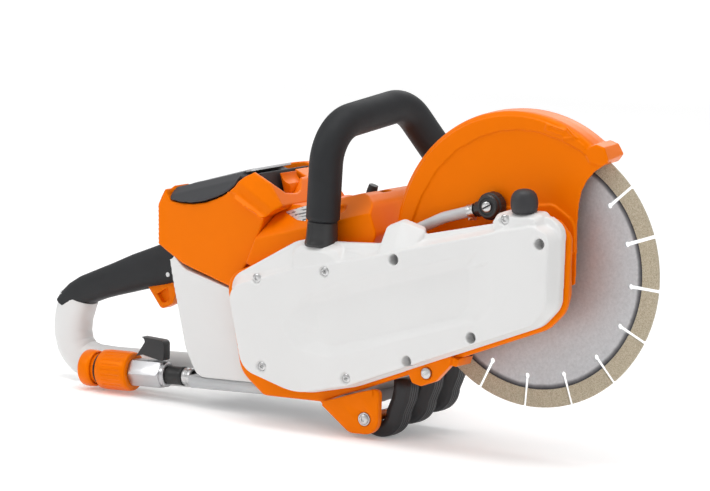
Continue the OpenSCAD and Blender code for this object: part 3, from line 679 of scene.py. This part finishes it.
def guard():
    def rim(a0, a1, section, n=90):
        rings = []
        for i in range(n + 1):
            a = math.radians(a0 + (a1 - a0) * i / n)
            rings.append([(GUARD_C[0] + r * math.cos(a), y, GUARD_C[1] + r * math.sin(a))
                          for r, y in section])
        return loft("rim", rings)

    front_edge = [(44, -8), (45, 18), (45.3, 40), (46.8, 58), (49.4, 69), (54.3, 77.8), (61.6, 85.8),
                  (74.4, 94)]
    near = prism("guard_shell", [(66, 98)] + arc(GUARD_C, 114, 49, 188, 60) + [(-127, -10), (-30, -24)]
                 + arc((0, 0), 31, 218, 330, 16) + front_edge, -14.5, -12)
    far = prism("far_wall", [(64, 97)] + arc(GUARD_C, 114, 49, 186, 60) + [(-118, -2)]
                + arc((0, 0), 50, 170, 45, 24) + [(59, 90), (72, 98)], 12, 14.5)
    skin = rim(47.5, 188, [(104, -14.5), (110, -14.6), (113.4, -14.4), (115.7, -13), (116.5, -9.6),
                           (117.0, 0), (116.5, 9), (115.9, 12.4), (113.6, 14.5), (110, 14.5), (110, 12.4),
                           (112.4, 11), (113.4, 8), (113.4, -8), (112.4, -10.6), (110, -12.3), (104, -12.3)])
    inner = [(-117, 8), (-113, 32), (-103, 56), (-88, 79), (-69, 97), (-46, 109.2), (-28, 115), (-9, 117.2),
             (10, 116), (31.4, 110.3), (47.6, 103.4), (62.7, 94.5)]
    band_line = [(*p, 12 if 0 < k < 11 else 2) for k, p in enumerate(inner)]
    band_line += [(*p, 0) for p in arc(GUARD_C, 112, 53.5, 184, 60)]
    band = layers("band", (-15.9, inward(band_line[:12], 0) + band_line[12:]), (-13.5, band_line), n=3)
    lip = layers("lip", (-15.6, [(50, 106, 2), (58, 106, 2), (64, 108.4, 1.6), (71.5, 106.2, 1.4),
                                 (75.6, 95.4, 1.6), (69, 90.5, 2), (58, 93, 2)]),
                 (15.0, [(48, 108, 2), (56, 108, 2), (61, 109.6, 1.6), (68.5, 107, 1.4), (73.4, 98.6, 1.6),
                         (68, 92, 2), (56, 94, 2)]))
    collar = prism("collar", rounded([(-30, 42, 8), (-22, 52, 8), (24, 57, 12), (44, 44, 14), (45.2, 20, 6),
                                      (30, 10, 4), (-30, 10, 4)]), -16.2, -13)
    hub = spun("hub", [(-16.2, 24.4), (-16.2, 33), (-13, 34), (-13, 24.4)], 0, 0, 72)
    arrow = [(x + 5.5, z + 6) for x, z in ((12.5, 117), (30, 112.6), (31, 115.8), (40.5, 106.5),
                                           (27.4, 104.6), (28.2, 107.6), (10.5, 112))]
    mark = prism("arrow", arrow, -16.7, -15)
    arrow_inner = [(x * 0.78 + 0.22 * 31, z * 0.78 + 0.22 * 117) for x, z in arrow]
    cut(mark, [prism("arrow_inner", arrow_inner, -17.5, -15.9)])
    ob = joined(near, [far, skin, lip, band, collar, hub, mark])
    cut(ob, [spun("hole", [(-40, 0), (-40, 24.3), (-11, 24.3), (-11, 0)], 0, 0, 72)])
    shown(moulded(ob, 0.75, 3, 0.3), "guard", "guard_orange", "guard")
    fitting = lathe("guard_fitting_body", [(-30, 0), (-30, 4.6), (-28.6, 4.6), (-28.6, 6.6), (-29.6, 7.2),
                                           (-29.6, 8.8), (-28.4, 10), (-25.6, 10.2), (-25, 11.4),
                                           (-17.6, 11.8), (-16.6, 11), (-16.6, 10), (-14.4, 10), (-14.4, 0)],
                    (FITTING[0], 0, FITTING[1]), (0, 1, 0), 56)
    notches = []
    for k in range(10):
        a = math.radians(36 * k + 10)
        x, z = FITTING[0] + 12.6 * math.cos(a), FITTING[1] + 12.6 * math.sin(a)
        notches.append(sweep("notch", [(x, -27, z), (x, -15.6, z)], oval(1.5, 1.5, n=12)))
    cut(fitting, notches)
    stub = sweep("stub", [(-33, -23, 52.4), (-47.1, -23, 48.6)], oval(4.5, 4.5))
    neck = sweep("neck", [(-39, -23, 50.8), (-43.5, -23, 49.6)], oval(5.8, 5.8, 3))
    shown(bevelled(joined(fitting, [stub, neck]), 0.3, 2), "guard", "black_plastic", "guard_fitting")
    head = spun("fitting_screw_head", [(-31, 0), (-31, 3.4), (-30.4, 4.4), (-27.4, 4.4), (-27.4, 0)],
                *FITTING, 40)
    corners = ((-6, -2.4), (-5.4, -3.4), (6, 2.4), (5.4, 3.4))
    slot = prism("slot", [(FITTING[0] + x, FITTING[1] + z) for x, z in corners], -33, -30)
    shown(bevelled(cut(head, [slot]), 0.15, 2), "guard", "screw_steel", "fitting_screw")
    route_h = route([((-47.05, -23, 48.61), 0), ((-76, -23, 40.9), 36), ((-100, -25, 30), 20),
                     ((-112, -25, 17), 0)], 1.5, 16)
    hose = sweep("guard_hose_skin", route_h, oval(4.75, 4.75, n=28))
    bake(hose)
    hose.data.transform(SAW)
    hose.data.shade_smooth()
    hose.data.materials.append(MATERIALS["hose_grey"])
    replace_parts(hose, "guard_hose")
    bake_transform(hose)
    back = Vector((-math.cos(math.radians(15)), 0, -math.sin(math.radians(15))))
    clamp = lathe("guard_hose_clip", [(6, 4.9), (6, 5.9), (7, 5.9), (7, 5.5), (11, 5.5), (11, 5.9),
                                      (12, 5.9), (12, 4.9)], Vector((FITTING[0] - 9, -23, FITTING[1] - 2.5)),
                  back, 40)
    ear = sweep("ear", [Vector((-49.8, -23, 41.4)), Vector((-49.8, -23, 45))], oval(2.6, 2.4, 5))
    ear2 = sweep("ear2", [Vector((-48.4, -23, 40.4)), Vector((-48.4, -23, 43.4))], oval(3.6, 0.6, 5))
    shown(bevelled(joined(clamp, [ear, ear2]), 0.2, 2), "guard", "screw_steel", "guard_hose_clamp")
    knob = lathe("guard_knob_cap", [(52.3, 0), (52.3, 9.2), (53.6, 10.4), (57, 11.1), (60.5, 11.4),
                                    (64.5, 11), (67.8, 9.9), (70.2, 7.9), (71.6, 5.2), (72.2, 2.4),
                                    (72.3, 0)], (15, -47, 0), (0, 0, 1), 56)
    shown(knob, "knob", "knob_rubber", "guard_knob")


# ---------------------------------------------------------------- handles
LEG_Y = -45.5
BAR_NEAR, BAR_FAR, LEG_FAR = (-175.5, LEG_Y, 113.3), (-165, 60, 125.5), (-150, 107, 68)


def front_handle():
    foot = (-160, 112, -60)
    tube_way = route([((-182, LEG_Y, 18.9), 0), (BAR_NEAR, 36), (BAR_FAR, 34), (LEG_FAR, 40), (foot, 0)], 4)
    tube = sweep("front_handle_tube_skin", tube_way, oval(11, 11, n=40))
    shown(bevelled(tube, 1, 2), "chassis", "tube_black", "front_handle_tube")
    end = Vector(BAR_FAR).lerp(Vector(LEG_FAR), 0.8)
    path = route([((-181, LEG_Y, 33.6), 0), (BAR_NEAR, 36), (BAR_FAR, 34), (end, 0)], 2.5, 16)
    total = sum((b - a).length for a, b in zip(path, path[1:]))

    def foam(t):
        edge = min(t, 1 - t) * total
        r = 14.3 - 2.2 * max(0.0, 1 - edge / 3.0) ** 2
        return oval(r, r, n=48)
    shown(sweep("front_handle_foam", path, foam), "chassis", "foam_black", "front_handle_sleeve")
    near = lathe("front_handle_collar", [(-6, 11.2), (-6, 13.9), (-4.5, 14.3), (-2.6, 14.1), (-1.8, 13.7),
                                         (2, 13.3), (14.2, 12.7), (14.8, 12.2), (14.8, 11.2)],
                 (-182, LEG_Y, 18.8), (0.07, 0, 1), 56)
    key = sweep("key", [(-185.2, LEG_Y - 12.6, 15), (-184.3, LEG_Y - 12.0, 32)], oval(3.4, 1.2, 4))
    shown(bevelled(joined(near, [key]), 0.4, 2), "chassis", "black_plastic", "handle_collars")
    far = across("far_clamp", rounded([(82, -64, 3), (116, -64, 8), (116, -34, 8), (82, -34, 3)], 6), -176,
                 -144)
    cut(far, [sweep("way", [(-158, 111, -20), (-161, 112.2, -80)], oval(11.2, 11.2))])
    shown(bevelled(far, 1.5), "chassis", "black_plastic")


# ---------------------------------------------------------------- housings and battery
def armed(ob):
    """Turns a piece drawn in the arm's frame into the saw's."""
    ob.data.transform(Matrix.Rotation(-ARM_PITCH, 4, "Y"))
    return ob


def plan(x0, x1, y0, y1, r_near, r_far):
    """A tall block with rounded upright edges at its rear."""
    line = rounded([(x0, y0, r_near), (x1, y0, 6), (x1, y1, 10), (x0, y1, r_far)], 12)
    return loft("plan", [[(x, y, -220) for x, y in line], [(x, y, 320) for x, y in line]])


UPPER = [(-354, 90, 4), (-346, 121, 16), (-332, 136, 12), (-262, 135, 10), (-246, 133, 12), (-229, 118, 8),
         (-219, 97, 0), (-237, 91, 0), (-263, 57, 8), (-280, 45, 6), (-286.4, 39, 0), (-332, 67.6, 20)]
BRIM = [(-333, 128), (-331, 122.6), (-320, 118.4), (-308, 115.6), (-296, 114.6), (-285, 115.3),
        (-275, 116.8), (-268, 119), (-262, 122), (-256.5, 125.8), (-251, 128.6)]
DECK = [(-236.2, 91.2, 0), (-218.4, 97.2, 0), (-206, 93.5, 8), (-142, 93, 14), (-130, 82, 10), (-128, 56, 8),
        (-141, 36, 0), (-279.4, 44, 6), (-262, 57, 8)]


def upper_housing():
    ob = prism("upper_housing_skin", rounded(UPPER, 10), -70, 120)
    upright = plan(-364, -100, NEAR_SIDE, FAR_SIDE, 9, 26)
    upright.data.transform(Matrix.Rotation(ARM_PITCH, 4, "Y"))
    common(ob, upright)
    ridge_near = [(-274, -31, 118), (-262, -31, 112), (-239, -31, 90), (-222, -12, 94), (-242, -12, 124),
                  (-262, -18, 128)]
    ridge_far = [(-274, -8, 131), (-262, -8, 131), (-239, -8, 92), (-219, 4, 96), (-236, 4, 123),
                 (-254, 4, 133)]
    ridge = loft("ridge", [ridge_near, ridge_far])
    joined(ob, ridge)
    bay = prism("bay", rounded([(-332, 53, 4), (-239.5, 53, 4), (-239.5, 150, 2), (-332, 150, 2)], 4), -15,
                69)
    scoop = prism("scoop", [(-333, 150), *BRIM, (-244, 130), (-236, 150)], -50, -12)
    facet_near = [(-300, -38, 150), (-284, -38, 119), (-274.5, -38, 108.5), (-252, -38, 84), (-200, -38, 84),
                  (-200, -38, 150)]
    facet_far = [(-275, -18, 165), (-256, -18, 144), (-245, -18, 133.5), (-203, -18, 94), (-198, -18, 90),
                 (-198, -18, 150)]
    facet = loft("facet", [facet_near, facet_far])
    pocket = loft("pocket", [[(-271, -34, 115), (-267, -34, 95.5), (-238, -34, 92.5)],
                             [(-264, -25, 112), (-262, -25, 101), (-246, -25, 97)]])
    valley = across("valley", [(-15, 160), (-15, 118), (-5, 108), (10, 106), (18, 108), (24, 113), (34, 121),
                               (40, 127), (46, 138), (46, 160)], -241, -200)
    latch_room = prism("latch_room", [(-244, 104), (-231, 104), (-231, 150), (-244, 150)], 11.5, 40.5)
    cut(ob, [bay, scoop, facet, pocket, valley, latch_room])
    shown(armed(moulded(ob, 0.95, 4, 0.35)), "chassis", "housing_orange", "upper_housing")


def deck_cover():
    ob = prism("deck_cover_skin", rounded(DECK, 10), -70, 120)
    common(ob, prism("side", [(-300, 30), (-100, 30), (-100, 120), (-300, 120)], NEAR_SIDE, FAR_SIDE))
    chamfer = across("chamfer", [(-60, 110), (-8, 110), (-8, 94), (-31.5, 74), (-60, 60)], -250, -100)
    slot = prism("slot", rounded([(-172, 70, 2), (-139, 70, 2), (-139, 110, 2), (-172, 110, 2)], 4), 13, 27)
    dish = lathe("dish", [(-3, 0), (-3, 4), (0, 7), (6, 9), (6, 0)], (-171, -4, 92.5), (0, -0.15, 1), 32)
    dish2 = lathe("dish", [(-2.5, 0), (-2.5, 4.4), (0, 5.2), (10, 5.2), (10, 0)], (-163, -20, 83.4),
                  (0, -0.6, 0.8), 32)
    cut(ob, [chamfer, slot, dish, dish2])
    shown(armed(moulded(ob, 0.95, 3, 0.35)), "chassis", "housing_orange", "deck_cover")
    well = prism("selector_well", [(-171, 72), (-140, 72), (-140, 88), (-171, 88)], 13.4, 26.6)
    cut(well, [prism("inner", [(-169.5, 73), (-141.5, 73), (-141.5, 100), (-169.5, 100)], 14.6, 25.4)])
    shown(armed(bevelled(well, 0.4, 2)), "chassis", "black_plastic")
    corners = ((-224, -11), (-200, -9.5), (-198, -24), (-208, -21))
    # The near slope, on which the plate lies, rises by deck_slope for each millimetre away from the viewer.
    slope_top, deck_slope = 94.4, 0.851
    plate = loft("rating_plate_skin", [[(x, y + 0.64 * h, slope_top + (y + 8) * deck_slope + 0.77 * h)
                                        for x, y in corners] for h in (-0.8, 0.5)])
    armed(plate)
    shown(bevelled(plate, 0.2, 2), "chassis", "plate_silver", "rating_plate", material=label_print())
    lever = sweep("selector_lever_skin", [(-158, 20, 80), (-157.5, 20, 88), (-155, 20, 94),
                                          (-152, 20, 98.5)], lambda t: oval(4.6 - 0.8 * t, 5.2 - 1.6 * t, 3),
                  side=(0, 1, 0))
    hub = spun("hub", [(12.4, 0), (12.4, 4.6), (27.6, 4.6), (27.6, 0)], -158, 84, 32)
    armed(joined(lever, hub))
    shown(bevelled(lever, 0.8, 3), "selector", "black_plastic", "selector_lever")


def battery():
    case_line = rounded([(-328, 56, 4), (-242, 56, 4), (-242, 130, 4), (-328, 130, 4)], 6)
    deep = prism("battery_case_skin", case_line, -12, 64)
    head_line = [(-332, 134)] + [(x, z + 1.3) for x, z in BRIM[1:9]] + [(-259, 134)]
    head = prism("head", head_line, -26, 60)
    crown = across("crown", rounded([(-34, 112, 0), (-25.5, 118, 4), (-21, 127, 8), (-9, 133.6, 10),
                                     (52, 133.6, 10), (66, 128, 6), (66, 112, 0)], 8), -340, -236)
    body = prism("upper_body", rounded([(-329, 104, 3), (-241, 104, 3), (-241, 134, 5), (-329, 134, 8)], 6),
                 -13, 66)
    joined(head, body)
    common(head, crown)
    joined(deep, head)
    shown(armed(moulded(deep, 0.9, 4, 0.3)), "battery", "battery_dark", "battery_case")
    lid_line = rounded([(-322, -6, 10), (-248, -6, 6), (-248, 56, 8), (-322, 56, 14)], 8)
    lid = loft("battery_lid_skin", [[(x, y, z) for x, y in lid_line] for z in (132.4, 134.4)])
    grooves = [prism("groove", [(x, 134.0), (x + 2.2, 134.0), (x + 2.2, 136), (x, 136)], 2, 50)
               for x in range(-312, -276, 6)]
    window = prism("window", [(-270, 133.9), (-256, 133.9), (-256, 136), (-270, 136)], 6, 44)
    cut(lid, [*grooves, window])
    shown(armed(bevelled(lid, 0.5, 2)), "battery", "battery_grey", "battery_lid",
          material=MATERIALS["tray_grey"])
    leds = prism("battery_lamps", [(-266, 133.8), (-260, 133.8), (-260, 134.2), (-266, 134.2)], 10, 40)
    shown(armed(bevelled(leds, 0.1, 2)), "battery", "battery_dark")
    latch = prism("battery_latch_skin", [(-238.5, 103), (-232.5, 103), (-231, 112), (-233, 125),
                                         (-238.5, 126)], 14, 38)
    cut(latch, [lathe("thumb", [(-30, 0), (-30, 9), (30, 9), (30, 0)], (-228.5, 26, 124), (0, 1, 0), 40)])
    pin = spun("pin", [(12.4, 0), (12.4, 1.5), (39.6, 1.5), (39.6, 0)], -235.5, 105.5, 24)
    armed(joined(latch, pin))
    shown(bevelled(latch, 0.7, 3), "latch", "housing_orange", "battery_latch")


def lower_housing():
    line = [(-357, 2.5, 3), (-348, -34, 30), (-336, -88, 12), (-324, -112, 16), (-146, -112, 6),
            (-142, -2, 3), (-287, -33.4, 12), (-338, -18.6, 20)]
    ob = prism("lower_housing_skin", rounded(line, 10), -70, 120)
    common(ob, plan(-365, -100, NEAR_SIDE, FAR_SIDE, 9, 26))
    vents = []
    for k in range(7):
        x = -300 + 15 * k
        vents.append(prism("vent", [(x, -94), (x + 7, -94), (x + 14, -52), (x + 7, -52)], 80, 84))
    vents.append(spun("motor_window", [(-33, 0), (-33, 34), (-19, 34), (-19, 0)], MOTOR_X, MOTOR_Z, 64))
    cut(ob, [*vents, spun("motor_room", [(-20, 0), (-20, 33), (27, 33), (27, 0)], MOTOR_X, MOTOR_Z, 64)])
    shown(moulded(ob, 1.1, 5, 0.35), "chassis", "housing_white", "lower_housing")
    tray_line = [(-20, -121, 5), (-21.5, -116.5, 3), (-20, -111.5, 3), (78, -111.5, 3), (78, -123, 4),
                 (-16, -123, 5)]
    tray = across("base_tray_skin", rounded(tray_line, 6), -334, -150)
    ribs = [across("rib", rounded([(y, -124, 1), (y + 8, -124, 1), (y + 6, -122, 1), (y + 2, -122, 1)], 3),
                   -318, -166) for y in (4, 26, 48)]
    cut(tray, ribs)
    shown(bevelled(tray, 0.6, 2), "chassis", "tray_grey", "base_tray")
    foot = lathe("far_foot_skin", [(0, 0), (0, 5.6), (1.2, 6.8), (18, 8.6), (24, 9.2), (24, 0)],
                 (-164, 68, -147.3), (0, 0, 1), 40)
    shown(bevelled(foot, 0.4, 2), "chassis", "apron_rubber", "far_foot")


GRIP_Y = 24


def rear_handle():
    line = [(-480, -58), (-485, -74), (-486.6, -88), (-483.5, -101), (-475, -110.8), (-462, -114.3),
            (-440, -114.8), (-400, -114.6), (-334.6, -114)]
    path = route([((x, GRIP_Y, z), 0 if i in (0, 8) else 9) for i, (x, z) in enumerate(line)], 3.5)
    loop = sweep("rear_loop_skin", path, lambda t: oval(14, 17.6 - 2.6 * min(1, t * 2.2), 2.5, 40),
                 side=(0, 1, 0))
    shown(bevelled(loop, 0.8, 2), "chassis", "housing_white", "rear_handle_loop")
    tops = [(-359.5, 5.5), (-378, -0.5), (-398, -8), (-420, -16), (-440, -24.5), (-460, -32.5),
            (-475, -38.5), (-486, -45), (-493.5, -52), (-498, -59)]
    feet = [(-346.5, -33), (-364, -37), (-383, -41.5), (-402, -45), (-420, -49.5), (-438, -54),
            (-451, -57.6), (-462, -61.6), (-473, -66), (-486, -67.5)]
    rings = []
    for k, (a, b) in enumerate(zip(tops, feet)):
        mid = Vector(((a[0] + b[0]) / 2, 0, (a[1] + b[1]) / 2))
        half = Vector(((a[0] - b[0]) / 2, 0, (a[1] - b[1]) / 2))
        wide = 14 if k < 8 else 14.1
        rings.append([(mid.x + half.x * u, GRIP_Y + s, mid.z + half.z * u)
                      for s, u in oval(wide, 1, 2.7, 44)])
    grip = loft("rear_grip_skin", rings)
    cut(grip, [prism("trigger_room", [(-404, -22), (-369, -22), (-369, -60), (-406, -60)], 16.4, 31.6)])
    shown(moulded(grip, 0.85, 3, 0.35), "chassis", "grip_black", "rear_grip")
    trigger_line = [(-381, -25, 4), (-370, -25, 4), (-370, -40, 3), (-377, -57, 5), (-388, -62, 4),
                    (-402, -43, 3), (-402, -32, 2)]
    trigger = prism("trigger_skin", rounded(trigger_line, 6), 18.2, 29.8)
    window = rounded([(-381, -43, 2), (-379, -53, 3), (-386.5, -57, 3), (-396, -45, 2)], 6)
    cut(trigger, [prism("window", window, 16, 22.4), prism("window", window, 25.6, 32)])
    shown(bevelled(trigger, 1.0, 3), "trigger", "housing_orange", "trigger")
    coil = [(-398 + 2.5 * math.cos(a), GRIP_Y + 2.5 * math.sin(a), -28.6 + 13.2 * a / (14 * math.pi))
            for a in np.linspace(0, 14 * math.pi, 169)]
    spring = shown(sweep("trigger_spring_skin", coil, oval(0.4, 0.4, n=10)), "chassis", "screw_steel",
                   "trigger_spring")
    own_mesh(spring)
    button = lathe("lockout_button_skin", [(8.5, 0), (8.5, 5.2), (16.2, 5.2), (17.3, 4.2), (17.3, 3),
                                           (16.9, 2.4), (16.9, 0)], (-392, GRIP_Y, -10), (0, 1, 0), 40)
    shown(bevelled(button, 0.2, 2), "lockout", "housing_orange", "lockout_button")


# ---------------------------------------------------------------- water feed
LINE_Y, LINE_Z = -9, -114.5


def turned(name, profile, n=56):
    """A closed profile of (x, radius) turned round the water line."""
    return lathe(name, profile, (0, LINE_Y, LINE_Z), (1, 0, 0), n)


def water_feed():
    sleeve = turned("coupling_sleeve_skin", [(-449, 13.7), (-449, 14.4), (-448, 15.5), (-446, 16),
            (-440, 16), (-437.6, 15.7), (-436.6, 15), (-436.6, 13.7)])
    shown(bevelled(sleeve, 0.5, 2), "sleeve", "coupling_orange", "coupling_sleeve")
    barrel = turned("coupling_barrel_skin", [(-446, 8.6), (-446, 12.4), (-445, 13), (-430.4, 13.2),
            (-430.2, 15.8), (-428.8, 17.1), (-424, 17.5), (-402, 17.3), (-399.4, 16.8), (-398.4, 15.6),
            (-398.4, 10.1), (-412, 10.1), (-412, 8.6)])
    ribs = []
    for k in range(24):
        a = 2 * math.pi * (k + 0.5) / 24
        y, z = LINE_Y + 18.15 * math.cos(a), LINE_Z + 18.15 * math.sin(a)
        ribs.append(sweep("flute", [(-422, y, z), (-404, y, z)], oval(1.1, 1.1, n=10)))
    cut(barrel, ribs)
    shown(bevelled(barrel, 0.25, 2), "chassis", "coupling_orange", "coupling_barrel")
    r = 13.4
    for x in (-432.8, -431.2):
        profile = [(x - 0.7, r - 1), (x - 0.7, r + 0.3), (x, r + 0.8), (x + 0.7, r + 0.3), (x + 0.7, r - 1)]
        shown(turned(f"coupling_ring_{int(-x)}", profile), "chassis", "black_plastic")
    hexed = [(LINE_Y + 13 * math.cos(math.radians(60 * k)), LINE_Z + 13 * math.sin(math.radians(60 * k)))
             for k in range(6)]
    body = across("valve_body_skin", hexed, -398, -366)
    common(body, [turned("cone", [(-398.2, 0), (-398.2, 11.4), (-396.2, 12.9), (-368, 12.9), (-366, 11.6),
                                  (-366, 0)], 72)])
    joined(body, [turned("end", [(-408, 5.2), (-408, 9.9), (-397, 9.9), (-397, 5.2)]),
                  turned("nut", [(-368, 5), (-368, 10.8), (-363, 10.8), (-362, 9.8), (-362, 5)]),
                  lathe("stem_base", [(-107, 0), (-107, 6), (-103.4, 6), (-102.8, 5.2), (-102.8, 0)],
                        (-378, LINE_Y, 0), (0, 0, 1), 40)])
    shown(bevelled(body, 0.5, 3, 25), "chassis", "valve_metal", "valve_body")
    lever_line = [(-393, -102.4, 2.5), (-364.4, -102.4, 2.5), (-364, -84.6, 4), (-392, -82.4, 4)]
    lever = prism("valve_lever_skin", rounded(lever_line, 6), -13.9, -4.1)
    shown(bevelled(lever, 1.6, 4), "valve", "black_plastic", "valve_lever")
    hose = turned("inlet_hose_skin", [(-362, 5), (-362, 7.6), (-361, 8.4), (-357, 8), (-349, 8), (-346, 8.4),
                                      (-345, 7.6), (-345, 5)])
    shown(hose, "chassis", "hose_black", "inlet_hose")
    clamp = turned("inlet_clip", [(-345, 5.6), (-345, 7.2), (-344.2, 7.5), (-341.6, 7.5), (-341, 6.9),
                                  (-340, 6.9), (-339.4, 7.5), (-336.8, 7.5), (-336, 7.2), (-336, 5.6)])
    shown(bevelled(clamp, 0.2, 2), "chassis", "screw_steel", "inlet_hose_clamp")


# ---------------------------------------------------------------- apron
def apron():
    """Three tyre-like rubber lobes, each ribbed across, further forward and higher than the last."""
    for k, (y0, y1, shift) in enumerate(((-30, -2, 0), (-2, 26, 8), (26, 52, 15))):
        rings = []
        y_mid, half = (y0 + y1) / 2, (y1 - y0) / 2 - 0.15
        way = [(-160, -139.4), (-155, -142)] + arc((-138, -126.2), 20, 226, 356, 34) + [(-112.5, -115),
                (-110.6, -106), (-110.4, -98)]
        for i, (x, z) in enumerate(way):
            t = (Vector(way[min(i + 1, len(way) - 1)]) - Vector(way[max(i - 1, 0)])).normalized()
            out = Vector((t.y, -t.x))
            deep = 8.5 * min(1.0, i / 9)
            ribs = 0.22 * min(1.0, max(0.0, (i - 16) / 8))
            ring = []
            for s in np.linspace(-1, 1, 57):
                d = 2.5 - 0.6 * abs(s) ** 6 - deep * max(0.0,
                        abs(s) - 0.35) ** 2.2 / 0.65 ** 2.2 + ribs * math.cos(8 * math.pi * s)
                ring.append((x + shift + out.x * d, y_mid + half * s, z + shift + out.y * d))
            low = -2.5 - deep * 0.9
            for s in (1, 0, -1):
                ring.append((x + shift + out.x * low, y_mid + half * s * 0.98, z + shift + out.y * low))
            rings.append(ring)
        lobe = loft(f"apron_lobe_{k}", rings)
        shown(lobe, "chassis", "apron_rubber", *(["apron"] if k == 0 else []))
    rear_line = [(-190, -121.2, 2), (-156, -144, 13), (-128, -144, 13), (-127, -106, 4), (-134, -105.5, 2),
                 (-148, -109, 4), (-168, -115, 4)]
    bracket = layers("apron_bracket_skin", (-44, inward(rear_line, 0.8)), (-43, rear_line), (-38, rear_line))
    seat = spun("seat", [(-46, 0), (-46, 6.4), (-42.6, 6.2), (-42.6, 0)], -141, -131, 40)
    cut(bracket, [seat])
    front_line = [(-104, -88, 2), (-94, -97, 5), (-86, -99, 5), (-72, -94, 6), (-58, -80, 3), (-56, -72, 2),
                  (-60, -70, 2)]
    front = layers("front", (-44, inward(front_line, 0.8)), (-43, front_line), (-37, front_line))
    cut(front, [spun("seat", [(-46, 0), (-46, 5.8), (-42.8, 5.6), (-42.8, 0)], -80, -87.5, 40)])
    tab = prism("tab", rounded([(-62, -84, 2), (-52, -80, 2), (-48, -70, 2), (-60, -72, 2)], 5), -42, -20)
    rod = spun("rod", [(-43, 0), (-43, 4), (-3, 4), (-3, 0)], -141, -131, 32)
    shown(bevelled(joined(bracket, [rod]), 0.5, 3), "chassis", "casting_orange", "apron_bracket")
    shown(bevelled(joined(front, [tab]), 0.5, 3), "chassis", "casting_orange")
    screw_head("bracket_screw_0", -141, -46.3, -131, 8.6)
    washer = spun("bracket_washer", [(-44.6, 4.4), (-44.6, 5.6), (-42.7, 5.6), (-42.7, 4.4)], -141, -131, 40)
    shown(bevelled(washer, 0.2, 2), "chassis", "screw_steel")
    bolt = spun("bracket_screw_1", [(-46, 0), (-46, 3.6), (-45.4, 4.6), (-42.9, 4.6), (-42.9, 0)], -80,
                -87.5, 40)
    cut(bolt, [prism("slot", [(-84.6, -89.6), (-84.2, -90.7), (-75.4, -85.4), (-75.8, -84.3)], -48, -45.3)])
    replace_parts(shown(bevelled(bolt, 0.15, 2), "chassis", "screw_steel"), "bracket_screws")


arm_cover()
arm_casting()
guard()
front_handle()
upper_housing()
deck_cover()
battery()
lower_housing()
rear_handle()
water_feed()
apron()
